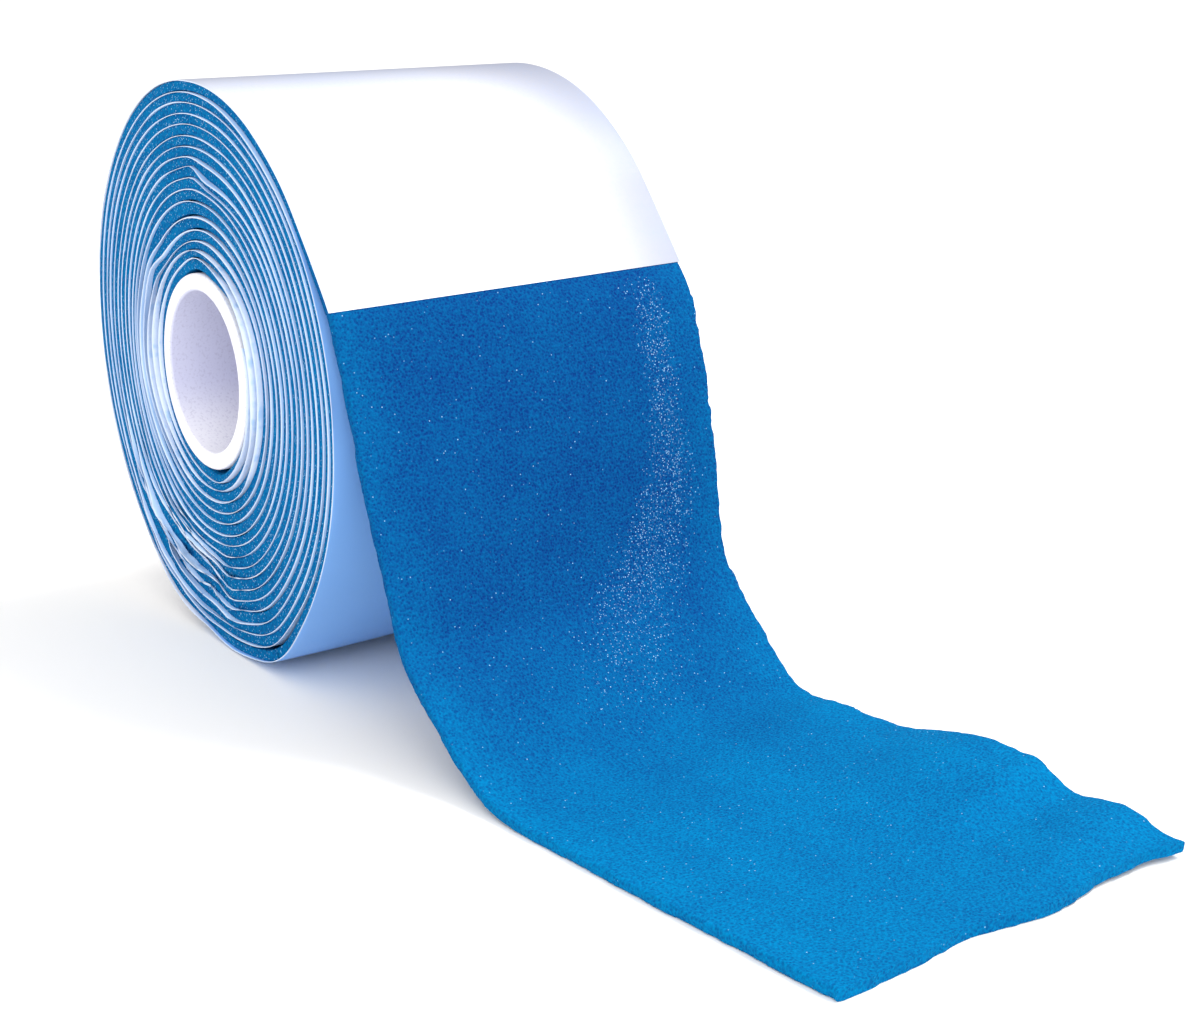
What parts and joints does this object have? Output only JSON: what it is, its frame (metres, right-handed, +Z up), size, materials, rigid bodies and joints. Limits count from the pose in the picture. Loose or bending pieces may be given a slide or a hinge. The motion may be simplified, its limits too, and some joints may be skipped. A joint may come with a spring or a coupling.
{
  "type": "cohesive foam hand wrap roll",
  "caption": "Roll of cohesive foam hand wrap on a tube core, with a wound-in release liner and its free end drawn off and lying flat.",
  "frame": {"origin": "centre of the core's bore, halfway along its length", "axes": "+Y along the core's axis, +X the way the free end runs out, +Z up with the roll standing on its outer turn"},
  "size_m": [0.1912, 0.0652, 0.0896],
  "materials": {
    "core": "smooth white moulded plastic",
    "foam": "fine-celled soft foam with a dry cohesive coating, matt with a few glinting cells",
    "liner": "satin white release film"
  },
  "bodies": {
    "outer_turn": {"foam_outer_turn": "foam", "liner_outer_turn": "liner", "foam_link": "foam", "liner_link": "liner"},
    "roll": {"core": "core", "foam_winding": "foam", "liner_winding": "liner"},
    "tail": {"foam_tail": "foam"},
    "free_end": {"foam_free_end": "foam"},
    "liner_flap": {"liner_flap": "liner"}
  },
  "joints": [
    {"name": "roll_turn", "type": "hinge", "parent": "outer_turn", "child": "roll", "pos_m": [0, 0, 0], "axis": [0, 1, 0], "range_deg": [-20, 20], "deforming": ["foam_link", "liner_link"]},
    {"name": "strip_pull", "type": "hinge", "parent": "outer_turn", "child": "tail", "pos_m": [0.04197, 0, 0.01739], "axis": [0, -1, 0], "range_deg": [0, 45]},
    {"name": "free_end_lift", "type": "hinge", "parent": "tail", "child": "free_end", "pos_m": [0.08697, 0, -0.04287], "axis": [0, -1, 0], "range_deg": [0, 60]},
    {"name": "liner_peel", "type": "hinge", "parent": "outer_turn", "child": "liner_flap", "pos_m": [0.02195, 0, 0.03971], "axis": [0, -1, 0], "range_deg": [0, 80]}
  ]
}
